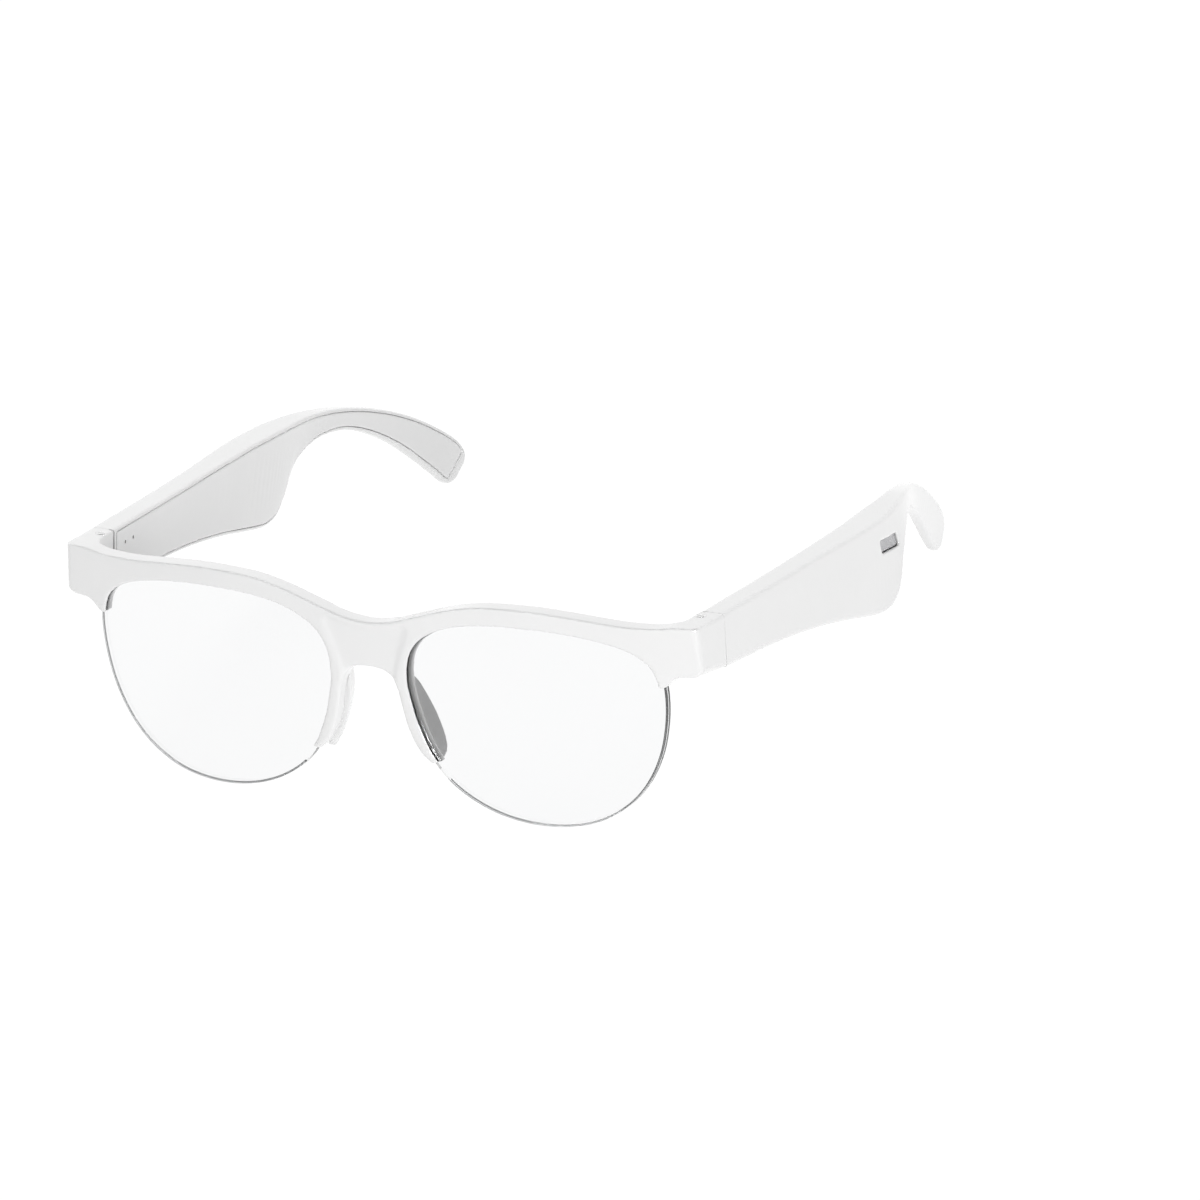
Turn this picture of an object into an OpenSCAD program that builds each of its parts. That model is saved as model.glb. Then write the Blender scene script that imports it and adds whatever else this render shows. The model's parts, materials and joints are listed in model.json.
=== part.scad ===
/* [Front] */
// Width over the outer corners of the front, at the top
front_w = 147.5; // [146.5:0.5:148.5]
// Radius of the front's bow, seen from above
bow_r = 290; // [260:10:340]
// How far the middle of the front lies ahead of its corners
bow_lead = 10.5; // [9.5:0.5:11.5]
// Backward lean of the lens plane, against the temples
face_tilt = 10; // [9:0.5:11]
// Depth of the brow and rims, front to back
rim_depth = 4.8; // [4.4:0.1:5.4]
// Radius of the front's two outer corners
corner_r = 2; // [1.5:0.25:2.5]

/* [Lenses] */
// Lens thickness
lens_t = 1.8; // [1.6:0.1:2.2]
// Step from the rim's front face back to the lens
lens_inset = 0.7; // [0.5:0.1:1]
// Side of the square nylon cord in the lens edge
cord_side = 0.5; // [0.4:0.1:0.6]

/* [Hinges] */
// Distance of each hinge axis from the middle plane
hinge_x = 69.9; // [69.5:0.1:70.2]
// Distance of the hinge axes behind the front corners
hinge_y = 8.5; // [8.3:0.1:8.7]
// Radius of the hinge screw's shaft
pin_r = 0.7; // [0.6:0.05:0.8]
// Radial running clearance round the shaft
pin_gap = 0.05; // [0.03:0.01:0.08]
// Radius of the screw's head
head_r = 1.15; // [1.05:0.05:1.2]

/* [Temples] */
// Thickness of the temple shell's outer wall
wall = 1; // [0.9:0.1:1.1]
// Width of the shell's rim round the inner cover
rim = 0.8; // [0.7:0.1:1.1]
// Thickness of the inner cover
cover_t = 1; // [0.9:0.1:1.1]
// Gap between the cover and the shell's rim
seam = 0.05; // [0.03:0.01:0.1]
// Chamfer along the temple's long edges
edge = 0.45; // [0.3:0.05:0.6]
// Length of the vent in the outer wall
vent_l = 10.2; // [8:0.2:10.6]
// Height of the vent
vent_h = 3; // [2:0.1:3.2]

/* [Hidden] */
$fn = 48;

WHITE = [0.93, 0.93, 0.92];
CLEAR = [0.85, 0.88, 0.9, 0.3];
METAL = [0.75, 0.76, 0.78];
GREY = [0.5, 0.5, 0.5];
FINE = 4;                     // curve steps between two outline points
STEPS = 4;                    // rings between two temple stations
RECESS_DEPTH = 0.4;           // depth of the bridge's recess
NOSE_PAD_T = 2.6;             // thickness of a nose pad
PAD_DOME = 27;                // radius of a pad's domed face
half_w = front_w / 2;
top_z = 0.75;                 // top of the endpieces and of the temples' front ends
SPREAD = 0.055;               // how much the ends spread for each millimetre downwards
big = 200;                    // longer than any part of the object

// ---- curves -----------------------------------------------------------------
// A point between b and c on the smooth curve through a, b, c and d
function spline_at(a, b, c, d, t) =
    0.5 * (2 * b + (c - a) * t + (2 * a - 5 * b + 4 * c - d) * t * t
        + (3 * b - a - 3 * c + d) * t * t * t);
// The value of the smooth curve through the rows of p, at the real index s
function along(p, s) =
    let (last = len(p) - 1, i = min(floor(s), last - 1))
    spline_at(p[max(i - 1, 0)], p[i], p[i + 1], p[min(i + 2, last)], s - i);
function smooth(p, n = FINE) = [for (k = [0:(len(p) - 1) * n]) along(p, k / n)];
function unit(v) = v / norm(v);
function mix(pair, f) = pair[0] * (1 - f) + pair[1] * f;
// An open path moved sideways by d, to the right of its direction
function shifted(p, d) = [for (i = [0:len(p) - 1])
    let (t = unit(p[min(i + 1, len(p) - 1)] - p[max(i - 1, 0)])) p[i] + d * [t[1], -t[0]]];

// ---- the front's surfaces ---------------------------------------------------
// Depth of the front face at x, in the leaning plane of the front
function bow(x) = -bow_lead + bow_r - sqrt(bow_r * bow_r - x * x);
// A point measured up the leaning face becomes a height above the temple's line
function lean(p) = [p[0], p[1] * cos(face_tilt) + bow(p[0]) * sin(face_tilt)];
function leaned(p) = [for (q = p) lean(q)];

// Right half of the front's outline as [across, up the face], from the top middle outwards
BROW_TOP = [[0, -3], [5, -2.4], [10, -0.9], [15, 0.8], [20, 2.3], [26, 3.4], [33, 3.6],
    [40, 3.3], [48, 2.4], [56, 1.3], [61, 0.9], [65, 0.85], [68.5, 1.15], [half_w + 2, 0.9]];
END_LOW = [[half_w + 2, -8.2], [74.2, -9.1], [73.3, -10.1], [72, -10.5], [68.9, -10.5],
    [67.7, -11.1], [66.7, -12.1], [66.1, -12.8], [65.3, -13.2]];
OPENING = [[64.5, -13], [64.1, -10.9], [62.9, -8.2], [60.4, -5.9], [56.8, -4.1], [52, -2.7],
    [46, -1.6], [40, -1], [34, -0.75], [28, -0.8], [23, -1.3], [19, -2.2], [15.4, -3.8],
    [12.3, -6], [10.2, -9], [9.2, -12.7], [9.1, -16.8], [9.9, -21.6], [11.3, -26.8],
    [13, -31.2], [14.7, -34.3]];
NOSE_SIDE = [[13, -34.6], [10.9, -32.4], [9.2, -29.4], [8.1, -26], [7.1, -21.4], [6.4, -17.6],
    [5.3, -15.3], [3.4, -14], [1.6, -13.6], [0, -13.5]];
// Half of the bridge's shallow recess between the rims
RECESS = [[0, -4.3], [5, -3.7], [8.6, -2.8], [9.8, -3.6], [8.8, -6.4], [7.5, -10], [6.5, -13.6],
    [5.9, -17], [0, -17]];
// The lens as a whole: its edge in the rim's groove, then its free edge
LENS_HELD = [[15.2, -36.6], [12.2, -31.9], [10.2, -27], [8.9, -21.6], [8.1, -16.8], [8.2, -12.5],
    [9.3, -8.4], [11.6, -5.2], [14.9, -2.9], [18.7, -1.2], [23, -0.3], [28, 0.2], [34, 0.25],
    [40, 0], [46, -0.6], [52, -1.7], [57, -3.2], [60.8, -5.1], [63.6, -7.6], [65.1, -10.4]];
LENS_FREE = [[65.7, -13.4], [65.7, -18], [65.1, -23], [63.9, -28.2], [61.9, -33.2], [59.2, -37.6],
    [55.8, -41.2], [51.4, -44.2], [46.5, -46.1], [41, -46.9], [35.5, -46.8], [30, -45.8],
    [25, -44], [20.6, -41.5], [17.4, -39]];

RECESS_HALF = leaned(RECESS);
FRONT_HALF = concat(leaned(smooth(BROW_TOP)), leaned(END_LOW), leaned(smooth(OPENING)),
    leaned(smooth(NOSE_SIDE)));
LENS_LINE = leaned(smooth(concat(LENS_HELD, LENS_FREE)));
FREE_LINE = [for (k = [len(LENS_HELD) * FINE:len(LENS_LINE) - 1]) LENS_LINE[k]];

// Half an outline, joined with its mirror image
function doubled(half) = concat(half, [for (i = [len(half) - 2:-1:1]) [-half[i][0], half[i][1]]]);

// A flat outline, x and z, drawn out along y
module through(points) {
    translate([0, big / 2, 0]) rotate([90, 0, 0]) linear_extrude(big) polygon(points);
}

// The bowed, leaning layer between depths d0 and d1 behind the front face
module layer(d0, d1, reach = half_w + 5) {
    xs = [for (x = [-reach:3:reach]) x];
    near = [for (x = xs) [x, bow(x) + d0]];
    far = [for (i = [len(xs) - 1:-1:0]) [xs[i], bow(xs[i]) + d1]];
    rotate([face_tilt, 0, 0]) translate([0, 0, -big / 2]) linear_extrude(big)
        polygon(concat(near, far));
}

// Everything inward of one end of the front, whose upright corner is rounded in plan and
// whose side spreads outwards towards the bottom
module flank() {
    cx = half_w - corner_r;
    cy = bow(cx) + corner_r;
    arc = [for (a = [-84:12:0]) [cx + corner_r * cos(a), cy + corner_r * sin(a)]];
    plan = concat([[-big, -big], [arc[0][0], -big]], arc, [[half_w, big], [-big, big]]);
    rotate([face_tilt, 0, 0])
        multmatrix([[1, 0, -SPREAD, 0], [0, 1, 0, 0], [0, 0, 1, 0], [0, 0, 0, 1]])
            translate([0, 0, -big / 2]) linear_extrude(big) polygon(plan);
}

// The layer of the rims between its two ends
module rim_layer() {
    intersection() {
        layer(0, rim_depth);
        flank();
        mirror([1, 0, 0]) flank();
    }
}

// ---- where the object stands ------------------------------------------------
// Temple stations: [y top, z top, y bottom, z bottom, outer x at top and bottom, thickness at both]
ARM = [
    [12, top_z, 12, -10.95, 73.8, 74.45, 5.4, 6.05],
    [22, top_z, 22, -11.5, 73.8, 74.4, 5.4, 6],
    [34, 0.7, 33, -12.1, 73.85, 74.45, 5.45, 5.95],
    [46, 0.7, 44, -12.9, 73.9, 74.6, 5.5, 5.8],
    [58, 0.8, 56, -14.2, 74.1, 74.8, 5.75, 5.7],
    [70, 0.9, 68, -16, 74.5, 75, 6.3, 5.6],
    [80, 1, 79, -18.1, 74.7, 75.1, 6.7, 5.6],
    [88, 1.05, 88, -19.5, 74.4, 75.1, 6.9, 5.6],
    [94, 1.1, 93.6, -18.6, 73.7, 75, 6.6, 5.5],
    [98, 1.1, 97, -15.4, 72.9, 74.7, 6, 5.4],
    [101, 1.1, 99.1, -11, 72.2, 74.1, 5.6, 5.2],
    [104.5, 1, 102.3, -7.5, 71.2, 73, 5, 5],
    [109, 0.7, 107.4, -5.2, 69.8, 71, 4.3, 4.4],
    [115, -0.1, 114, -4.9, 67.8, 68.4, 3.5, 3.6],
    [122, -1.6, 119.6, -6.1, 65.2, 66.2, 2.9, 3],
    [130, -4.2, 125.9, -8.8, 62.8, 64, 2.9, 2.9],
    [138, -7.6, 132.8, -12.8, 60.8, 62, 2.8, 2.8],
    [146, -11.9, 139.7, -17.8, 59, 60.2, 2.7, 2.7],
    [152, -15.8, 145.2, -22, 57.7, 58.9, 2.6, 2.6],
    [154.9, -19, 149.1, -24.8, 57.1, 58.2, 2.4, 2.4],
    [155.3, -21.4, 152.3, -24.6, 57, 57.6, 2, 2]];
ARM_END = len(ARM) - 1;

// The object rests on both lenses' lowest points and on both ear hooks' lowest points
low_x = 38.5;                 // across, at a lens's lowest point
low_w = -46.97;               // up the face, at a lens's lowest point
lens_low = [bow(low_x) * cos(face_tilt) - low_w * sin(face_tilt)
    + (lens_inset + lens_t) / cos(face_tilt), lean([low_x, low_w])[1]];
hook_lows = [for (s = [ARM_END - 2:0.25:ARM_END]) let (r = along(ARM, s)) [r[2], r[3]]];
rest_angle = min([for (p = hook_lows) atan((p[1] - lens_low[1]) / (p[0] - lens_low[0]))]);
stand_z = lens_low[0] * sin(rest_angle) - lens_low[1] * cos(rest_angle);
nose_tip = [-bow_lead * cos(face_tilt) + 3 * sin(face_tilt), lean([0, -3])[1]];
front_most = nose_tip[0] * cos(rest_angle) + nose_tip[1] * sin(rest_angle);
rear_most = max([for (s = [ARM_END - 2:0.25:ARM_END])
    let (r = along(ARM, s)) r[0] * cos(rest_angle) + r[1] * sin(rest_angle)]);

// From the temples' own frame to the resting object, with its box centred over the origin
module stand() {
    translate([0, -(front_most + rear_most) / 2, stand_z]) rotate([-rest_angle, 0, 0])
        children();
}

// The +X side, which is the wearer's left, or its mirror image
module side(left) {
    mirror([left ? 0 : 1, 0, 0]) children();
}

// ---- lofted pieces of a temple ----------------------------------------------
// A closed solid through rings of points
module loft(rings) {
    n = len(rings[0]);
    m = len(rings);
    points = [for (r = rings) for (p = r) p];
    sides = [for (i = [0:m - 2]) for (k = [0:n - 1])
        let (a = i * n + k, b = i * n + (k + 1) % n) each [[a, b + n, b], [a, a + n, b + n]]];
    first = [for (k = [0:n - 1]) k];
    last = [for (k = [n - 1:-1:0]) (m - 1) * n + k];
    polyhedron(points, concat(sides, [first, last]));
}

// The section at station s: inset from the top and bottom edges, between the depth "under"
// the outer face and the height "over" the inner face, with chamfered corners
function section(s, inset, under, over, bevel) =
    let (r = along(ARM, s), top = [r[0], r[1]], low = [r[2], r[3]], h = norm(low - top),
        u = (low - top) / h, t = top + u * inset, b = low - u * inset, f = inset / h,
        outer = [r[4] - under, r[5] - under], inner = [r[4] - r[6] + over, r[5] - r[7] + over],
        ot = mix(outer, f), ob = mix(outer, 1 - f), it = mix(inner, f), ib = mix(inner, 1 - f))
    bevel == 0
    ? [[ot, t[0], t[1]], [ob, b[0], b[1]], [ib, b[0], b[1]], [it, t[0], t[1]]]
    : let (tt = t + u * bevel, bb = b - u * bevel)
        [[ot - bevel, t[0], t[1]], [ot, tt[0], tt[1]], [ob, bb[0], bb[1]],
        [ob - bevel, b[0], b[1]], [ib + bevel, b[0], b[1]], [ib, bb[0], bb[1]],
        [it, tt[0], tt[1]], [it + bevel, t[0], t[1]]];

module arm(s0, s1, inset = 0, under = 0, over = 0, bevel = 0) {
    n = ceil((s1 - s0) * STEPS);
    loft([for (k = [0:n]) section(s0 + (s1 - s0) * k / n, inset, under, over, bevel)]);
}

// ---- front ------------------------------------------------------------------
SLOT_LOW = -7.8;              // height of the hinge slot's floor
SLOT_TOP = -3.6;              // height of its ceiling
SLOT_FRONT = 5.2;             // front wall of the hinge slot
SLOT_OUT = 72.2;              // outer wall of the hinge slot
LEAF_T = 0.7;                 // thickness of the front hinge's two ears
WEB_T = 0.8;                  // thickness of the web that joins them
EAR_INSET = [0.1, 0.4];       // how far the ears stop inside the endpiece, across and along
END_IN = 68.4;                // inner face of the endpieces
END_BACK = 11.88;             // rear face of the endpieces
END_CUT = [1.1, 0.45];        // cut at their rear inner corners, across and along
END_SIDE = [[0, top_z], [END_BACK + 1, top_z], [END_BACK + 1, -10.95], [0, -10.3]];
END_CORNERS = [[60, 0], [65, 0.3], [68.2, top_z], [73.35, top_z], [75.2, -1.1], [75.2, -9.8],
    [73.6, -11.4], [60, -11.4]];
END_BEVEL = [72.9, -9.9];     // middle of the bevel under an endpiece's front corner
BEVEL_TURN = 9.7;             // how fast that bevel narrows towards the rear
FILLET_R = 3.4;               // radius of the fillet between an endpiece and the brow
FILLET_Y = 1.9;               // where the fillet meets the brow's rear face
SCREW_LOW = -9.3;             // tip of the hinge screw
HEAD_H = 0.8;                 // height of the screw's head
HEAD_RISE = 0.05;             // how far the head stands out of the endpiece
SLIT = [0.3, 0.3];            // width and depth of the slit in the head
pad_at = [9.6, 1.2, -28.2];   // middle of a nose pad
pad_turn = [10, 15, -22];     // how a nose pad is turned

module upright(r, z0, z1) {
    translate([hinge_x, hinge_y, z0]) cylinder(h = z1 - z0, r = r);
}

// From corner to corner
module block(a, b) {
    translate(a) cube(b - a);
}

// An endpiece: it grows out of the brow with a fillet, has cut outer edges, and its rear
// inner corner is cut back to let the temple turn
module endpiece() {
    fillet = [for (a = [0:15:90]) [END_IN - FILLET_R * (1 - cos(a)),
        FILLET_Y + FILLET_R * (1 - sin(a))]];
    plan = concat([[half_w + 2, 0.5], [half_w + 2, END_BACK], [END_IN + END_CUT[0], END_BACK],
        [END_IN, END_BACK - END_CUT[1]]], fillet, [[END_IN - FILLET_R, 0.5]]);
    intersection() {
        translate([0, 0, -big / 2]) linear_extrude(big) polygon(plan);
        rotate([90, 0, 90]) linear_extrude(big) polygon(END_SIDE);
        through(END_CORNERS);
        flank();
        bevel_side();
    }
}

// Everything on the inner side of the bevel, which narrows towards the rear
module bevel_side() {
    translate([END_BEVEL[0], 0, END_BEVEL[1]]) rotate([0, 0, -BEVEL_TURN]) rotate([0, 45, 0])
        translate([-big, -big / 2, -big / 2]) cube(big);
}

module hinge_slot() {
    block([END_IN - 1, SLOT_FRONT, SLOT_LOW], [SLOT_OUT, END_BACK + 1, SLOT_TOP]);
    upright(pin_r + pin_gap, SCREW_LOW, top_z + 1);
    upright(head_r + pin_gap, top_z - HEAD_H, top_z + 1);
}

module lens_body(left) {
    side(left) intersection() {
        through(LENS_LINE);
        layer(lens_inset, lens_inset + lens_t);
    }
}

// The groove in a lens's free edge, reaching out past the edge
module cord_groove(left) {
    mid = lens_inset + lens_t / 2;
    floor_line = shifted(FREE_LINE, cord_side);
    band = concat(shifted(FREE_LINE, -1),
        [for (i = [len(floor_line) - 1:-1:0]) floor_line[i]]);
    side(left) intersection() {
        through(band);
        layer(mid - cord_side / 2, mid + cord_side / 2);
    }
}

// A pad's outline in its own plane, as [back, up]
PAD_LINE = [[-4, 9.8], [-3.3, 10.9], [-1.7, 11.3], [-0.3, 10.9], [0.7, 9.4], [1.4, 7.3],
    [2.1, 4.6], [2.7, 1.7], [3, -1.2], [3.1, -4], [2.6, -6.6], [1.1, -8.1], [-1, -8.3],
    [-2.8, -6.6]];

// A flat pad whose face towards the nose is domed
module pad_body(left) {
    side(left) translate(pad_at) rotate([0, 0, pad_turn[2]]) rotate([0, -pad_turn[1], 0])
        rotate([pad_turn[0], 0, 0]) translate([-NOSE_PAD_T / 2, 0, 0]) intersection() {
            rotate([90, 0, 90]) linear_extrude(NOSE_PAD_T) polygon(smooth(PAD_LINE, 3));
            translate([PAD_DOME, 0, 0]) sphere(PAD_DOME, $fn = 240);
        }
}

module front_frame() {
    color(WHITE) stand() difference() {
        union() {
            intersection() {
                through(doubled(FRONT_HALF));
                rim_layer();
            }
            for (left = [true, false]) side(left) endpiece();
        }
        intersection() {
            through(doubled(RECESS_HALF));
            layer(-1, RECESS_DEPTH, RECESS_HALF[3][0] + 1);
        }
        for (left = [true, false]) {
            lens_body(left);
            pad_body(left);
            side(left) hinge_slot();
        }
    }
}

module lens(left) {
    color(CLEAR) stand() difference() {
        lens_body(left);
        cord_groove(left);
    }
}

module lens_cord(left) {
    color(GREY) stand() intersection() {
        lens_body(left);
        cord_groove(left);
    }
}

module nose_pad(left) {
    color(WHITE) stand() pad_body(left);
}

module front_hinge(left) {
    color(METAL) stand() side(left) difference() {
        block([END_IN + EAR_INSET[0], SLOT_FRONT, SLOT_LOW],
            [SLOT_OUT, END_BACK - EAR_INSET[1], SLOT_TOP]);
        block([END_IN - 1, SLOT_FRONT + WEB_T, SLOT_LOW + LEAF_T],
            [SLOT_OUT + 1, END_BACK + 1, SLOT_TOP - LEAF_T]);
        upright(pin_r + pin_gap, SLOT_LOW - 1, SLOT_TOP + 1);
    }
}

module hinge_screw(left) {
    color(METAL) stand() side(left) difference() {
        union() {
            upright(pin_r, SCREW_LOW, top_z);
            upright(head_r, top_z - HEAD_H, top_z + HEAD_RISE);
        }
        block([hinge_x - SLIT[0] / 2, hinge_y - 2, top_z + HEAD_RISE - SLIT[1]],
            [hinge_x + SLIT[0] / 2, hinge_y + 2, top_z + 1]);
    }
}

// ---- temples ----------------------------------------------------------------
CONTACT_Z = -3.3;             // height of the charging contacts
CONTACT_Y = [17.3, 21.1];     // places of the charging contacts along the temple
CONTACT_R = 0.4;              // radius of a charging contact
CONTACT_X = [69, 69.9];       // a contact's two ends; the flex cable meets the second
FACE_X = 68.4;                // inner face of a temple's front end
SEAT_DEPTH = 0.02;            // depth of the flat seat round the charging contacts
SEAT = [[60, 14.6, -5.6], [FACE_X + SEAT_DEPTH, 23.8, -1]];
KNUCKLE_R = 1.5;              // radius of the hinge knuckle
KNUCKLE_Z = [-7.05, -4.35];   // underside and top of the knuckle
NECK_X = [69.5, 70.8];        // the two sides of the knuckle's neck
NECK_END = 14.6;              // where the neck ends, inside the temple
NECK_GAP = 0.05;              // gap round the neck where it passes the shell's front wall
LEAF = [[70.1, 13.6, -9.2], [71.1, 27, -4.35]];
LEAF_SCREW_Y = [19, 24.5];    // places of the screws that hold the hinge leaf
LEAF_SCREW_Z = -7.5;          // height of those screws
LEAF_SCREW_X = [69.55, 72.5]; // their heads' faces and their tips
LEAF_SCREW_R = 0.6;           // radius of their shafts
LEAF_HEAD_R = 1;              // radius of their heads
BOSS_R = 1.3;                 // radius of the boss round each of them
BOSS_END = 73.4;              // outer end of a boss, in the outer wall
VENT_AT = [74.2, 92.3, -5.5]; // middle of the vent, on the outer face
VENT_TURN = [-5, -3.3, 5.7];  // how the vent is turned to lie in the outer face
VENT_SLANT = 1.5;             // how far the vent's lower edge lies behind its upper one
VENT_CORNER = 0.4;            // cut at the vent's corners
MESH_X = [-1, -0.5];          // the mesh plate's two faces, from the outer face
GASKET_X = -1.5;              // the gasket's inner face
OPEN_FROM = 0.15;             // first station of the shell's opening
OPEN_TO = ARM_END - 1.3;      // last station of the opening
MIC_HOLE = [71, 31, -14];     // lower end of the microphone's hole
MIC_HOLE_R = 0.35;
SENSOR_AT = [72.58, 28.5, -8.6]; // front lower corner of the touch sensor
SENSOR = [0.2, 23, 6.8];      // its thickness, length and height
SENSOR_TURN = -0.3;           // how it follows the outer wall

// Boxes, from corner to corner, of what a temple holds
BATTERY = [[70.6, 57, -12.5], [72.9, 80, -2.6]];
BOARD = [[[70.8, 27.8, -9.3], [71.5, 55, -1.6]], [[69.9, 34, -8], [70.8, 39, -3]],
    [[70.2, 42, -7.5], [70.8, 45, -4.5]], [[70.1, 48, -8.6], [70.8, 52, -2.4]]];
SPEAKER = [[70.8, 82.5, -15.5], [72.6, 94.5, -8.6]];
MAGNETS = [[[70.15, 14.2, -3.9], [71.7, 16.4, -1.4]], [[70.15, 22.6, -3.9], [71.7, 24.8, -1.4]]];
MICROPHONE = [[70.2, 29.6, -10.4], [71.8, 32.4, -9.5]];
FLEX = [[CONTACT_X[1], 16.3, -4.1], [CONTACT_X[1] + 0.15, 31, -2.4]];
STRIP_FROM = 12.2;            // first station of the core strip
STRIP_INSET = 2;              // distance of the strip from the temple's edges
STRIP_GAP = 0.15;             // its distance from the wall and from the cover
STRIP_SHORT = 0.3;            // how far before the opening's end it ends, in stations

// A disc across the temple, from x0 to x1
module across(r, y, z, x0, x1) {
    translate([x0, y, z]) rotate([0, 90, 0]) cylinder(h = x1 - x0, r = r);
}

// An outline with its corners cut back by c
function cut_corners(p, c) = [for (i = [0:len(p) - 1])
    let (a = p[(i + len(p) - 1) % len(p)], b = p[i], d = p[(i + 1) % len(p)])
    each [b + c * unit(a - b), b + c * unit(d - b)]];

// A plate in the vent's place, smaller than the vent by "less" all round
module vent_plate(less, x0, x1) {
    l = vent_l / 2 - less;
    h = vent_h / 2 - less;
    s = VENT_SLANT / 2;
    outline = cut_corners([[s - l, -h], [s + l, -h], [l - s, h], [-l - s, h]], VENT_CORNER);
    translate(VENT_AT) rotate(VENT_TURN) translate([x0, 0, 0]) rotate([90, 0, 90])
        linear_extrude(x1 - x0) polygon(outline);
}

module temple_shell(left) {
    color(WHITE) stand() side(left) difference() {
        union() {
            difference() {
                arm(0, ARM_END, bevel = edge);
                arm(OPEN_FROM, OPEN_TO, inset = rim, under = wall, over = -1);
            }
            for (y = LEAF_SCREW_Y) across(BOSS_R, y, LEAF_SCREW_Z, LEAF[1][0], BOSS_END);
        }
        block([NECK_X[0] - NECK_GAP, END_BACK, KNUCKLE_Z[0] - NECK_GAP],
            [NECK_X[1] + NECK_GAP, LEAF[0][1], KNUCKLE_Z[1] + NECK_GAP]);
        for (y = LEAF_SCREW_Y) across(LEAF_SCREW_R, y, LEAF_SCREW_Z, 70, LEAF_SCREW_X[1]);
        vent_plate(0, -3, 3);
        translate(MIC_HOLE) cylinder(h = 5, r = MIC_HOLE_R);
    }
}

module inner_cover(left) {
    color(WHITE) stand() side(left) difference() {
        arm(OPEN_FROM + 0.01, OPEN_TO - 0.01, inset = rim + seam, under = wall);
        arm(OPEN_FROM - 0.1, ARM_END, under = -1, over = cover_t);
        block(SEAT[0], SEAT[1]);
        for (y = CONTACT_Y) across(CONTACT_R, y, CONTACT_Z, 60, 72);
    }
}

module temple_hinge(left) {
    color(METAL) stand() side(left) difference() {
        union() {
            upright(KNUCKLE_R, KNUCKLE_Z[0], KNUCKLE_Z[1]);
            block([NECK_X[0], hinge_y, KNUCKLE_Z[0]], [NECK_X[1], NECK_END, KNUCKLE_Z[1]]);
            block(LEAF[0], LEAF[1]);
        }
        upright(pin_r + pin_gap, KNUCKLE_Z[0] - 1, KNUCKLE_Z[1] + 1);
        for (y = LEAF_SCREW_Y) across(LEAF_SCREW_R, y, LEAF_SCREW_Z, 69, 72);
    }
}

module leaf_screws(left) {
    color(METAL) stand() side(left) for (y = LEAF_SCREW_Y) {
        across(LEAF_SCREW_R, y, LEAF_SCREW_Z, LEAF_SCREW_X[0], LEAF_SCREW_X[1]);
        across(LEAF_HEAD_R, y, LEAF_SCREW_Z, LEAF_SCREW_X[0], LEAF[0][0]);
    }
}

module battery(left) {
    color([0.35, 0.45, 0.6]) stand() side(left) block(BATTERY[0], BATTERY[1]);
}

module circuit_board(left) {
    color([0.1, 0.4, 0.25]) stand() side(left) for (b = BOARD) block(b[0], b[1]);
}

module speaker(left) {
    color([0.25, 0.25, 0.27]) stand() side(left) block(SPEAKER[0], SPEAKER[1]);
}

module vent_mesh(left) {
    color(GREY) stand() side(left) vent_plate(seam, MESH_X[0], MESH_X[1]);
}

module vent_gasket(left) {
    color([0.2, 0.2, 0.2]) stand() side(left) difference() {
        vent_plate(seam, GASKET_X, MESH_X[0]);
        vent_plate(0.6, GASKET_X - 1, MESH_X[0] + 1);
    }
}

module charging_contacts(left) {
    color([0.85, 0.7, 0.35]) stand() side(left) for (y = CONTACT_Y)
        across(CONTACT_R, y, CONTACT_Z, CONTACT_X[0], CONTACT_X[1]);
}

module charging_magnets(left) {
    color([0.6, 0.6, 0.62]) stand() side(left) for (b = MAGNETS) block(b[0], b[1]);
}

module microphone(left) {
    color([0.8, 0.75, 0.5]) stand() side(left) block(MICROPHONE[0], MICROPHONE[1]);
}

module touch_sensor(left) {
    color([0.7, 0.5, 0.2]) stand() side(left) translate(SENSOR_AT) rotate([0, 0, SENSOR_TURN])
        cube(SENSOR);
}

module flex_cable(left) {
    color([0.8, 0.5, 0.15]) stand() side(left) block(FLEX[0], FLEX[1]);
}

module core_strip(left) {
    color(METAL) stand() side(left) arm(STRIP_FROM, OPEN_TO - STRIP_SHORT, inset = STRIP_INSET,
        under = wall + STRIP_GAP, over = cover_t + STRIP_GAP);
}

front_frame();
lens(true);  // lens_left
lens(false);  // lens_right
lens_cord(true);  // lens_cord_left
lens_cord(false);  // lens_cord_right
nose_pad(true);  // nose_pad_left
nose_pad(false);  // nose_pad_right
front_hinge(true);  // front_hinge_left
front_hinge(false);  // front_hinge_right
hinge_screw(true);  // hinge_screw_left
hinge_screw(false);  // hinge_screw_right
temple_shell(true);  // temple_shell_left
temple_shell(false);  // temple_shell_right
inner_cover(true);  // inner_cover_left
inner_cover(false);  // inner_cover_right
temple_hinge(true);  // temple_hinge_left
temple_hinge(false);  // temple_hinge_right
leaf_screws(true);  // leaf_screws_left
leaf_screws(false);  // leaf_screws_right
battery(true);  // battery_left
battery(false);  // battery_right
circuit_board(true);  // circuit_board_left
circuit_board(false);  // circuit_board_right
speaker(true);  // speaker_left
speaker(false);  // speaker_right
vent_mesh(true);  // vent_mesh_left
vent_mesh(false);  // vent_mesh_right
vent_gasket(true);  // vent_gasket_left
vent_gasket(false);  // vent_gasket_right
charging_contacts(true);  // charging_contacts_left
charging_contacts(false);  // charging_contacts_right
charging_magnets(true);  // charging_magnets_left
charging_magnets(false);  // charging_magnets_right
microphone(true);  // microphone_left
microphone(false);  // microphone_right
touch_sensor(true);  // touch_sensor_left
touch_sensor(false);  // touch_sensor_right
flex_cable(true);  // flex_cable_left
flex_cable(false);  // flex_cable_right
core_strip(true);  // core_strip_left
core_strip(false);  // core_strip_right
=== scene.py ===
"""Smart glasses with clear half-rim lenses: the looks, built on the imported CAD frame."""
import json
import math

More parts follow.
